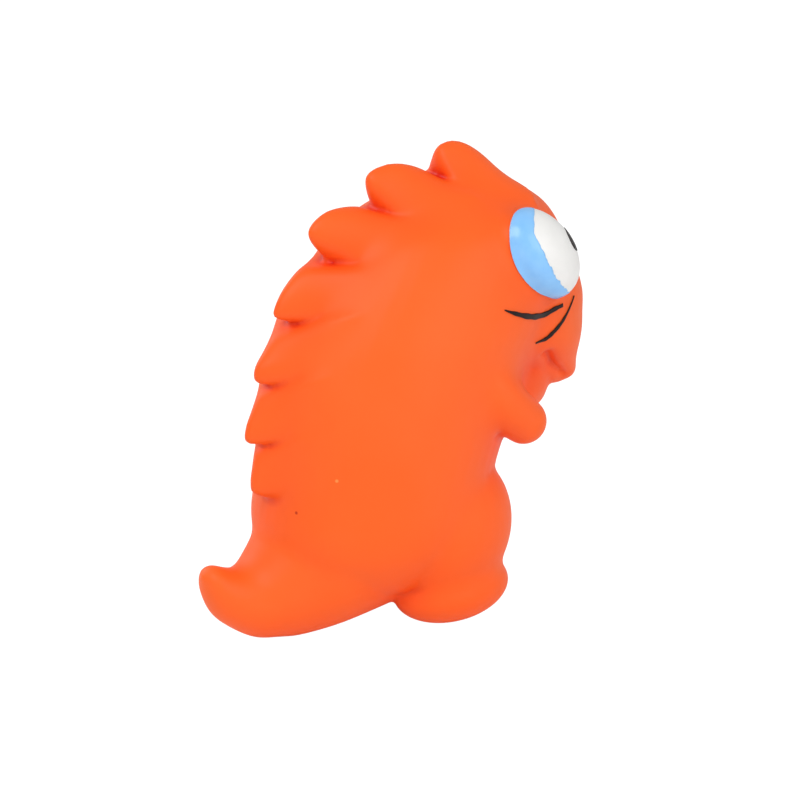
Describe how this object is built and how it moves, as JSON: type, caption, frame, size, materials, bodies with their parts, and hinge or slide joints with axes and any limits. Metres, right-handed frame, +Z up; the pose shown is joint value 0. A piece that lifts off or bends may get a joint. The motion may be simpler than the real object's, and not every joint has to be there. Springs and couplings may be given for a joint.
{
  "type": "latex dog toy",
  "caption": "Hollow latex dinosaur dog toy with fibre stuffing, painted eyes and a plugged-in reed squeaker, standing on two feet and its tail.",
  "frame": {"origin": "on the floor, under the middle of the toy's box", "axes": "+Z up, -Y the way the toy faces, +X the toy's left"},
  "size_m": [0.0598, 0.1176, 0.125],
  "materials": {
    "latex_orange": "satin",
    "polyester_fibre": "matte",
    "enamel_white": "gloss",
    "enamel_blue": "gloss",
    "enamel_black": "gloss",
    "squeaker_plastic": "satin",
    "reed_film": "gloss"
  },
  "bodies": {
    "toy": {"latex_skin": "latex_orange", "fibre_filling": "polyester_fibre", "squeaker_housing": "squeaker_plastic", "squeaker_reed_seat": "squeaker_plastic", "squeaker_reed_clamp": "squeaker_plastic", "squeaker_cap": "squeaker_plastic", "eye_white_right": "enamel_white", "eyelid_blue_right": "enamel_blue", "pupil_right": "enamel_black", "cheek_line_upper_right": "enamel_black", "cheek_line_lower_right": "enamel_black", "eye_white_left": "enamel_white", "eyelid_blue_left": "enamel_blue", "pupil_left": "enamel_black", "cheek_line_upper_left": "enamel_black", "cheek_line_lower_left": "enamel_black"},
    "reed": {"squeaker_reed": "reed_film"}
  },
  "joints": [
    {"name": "reed_flex", "type": "hinge", "parent": "toy", "child": "reed", "pos_m": [0, 0.01483, 0.01123], "axis": [-1, 0, 0], "range_deg": [-1.5, 6], "stiffness_Nm_per_rad": 0.0044}
  ]
}
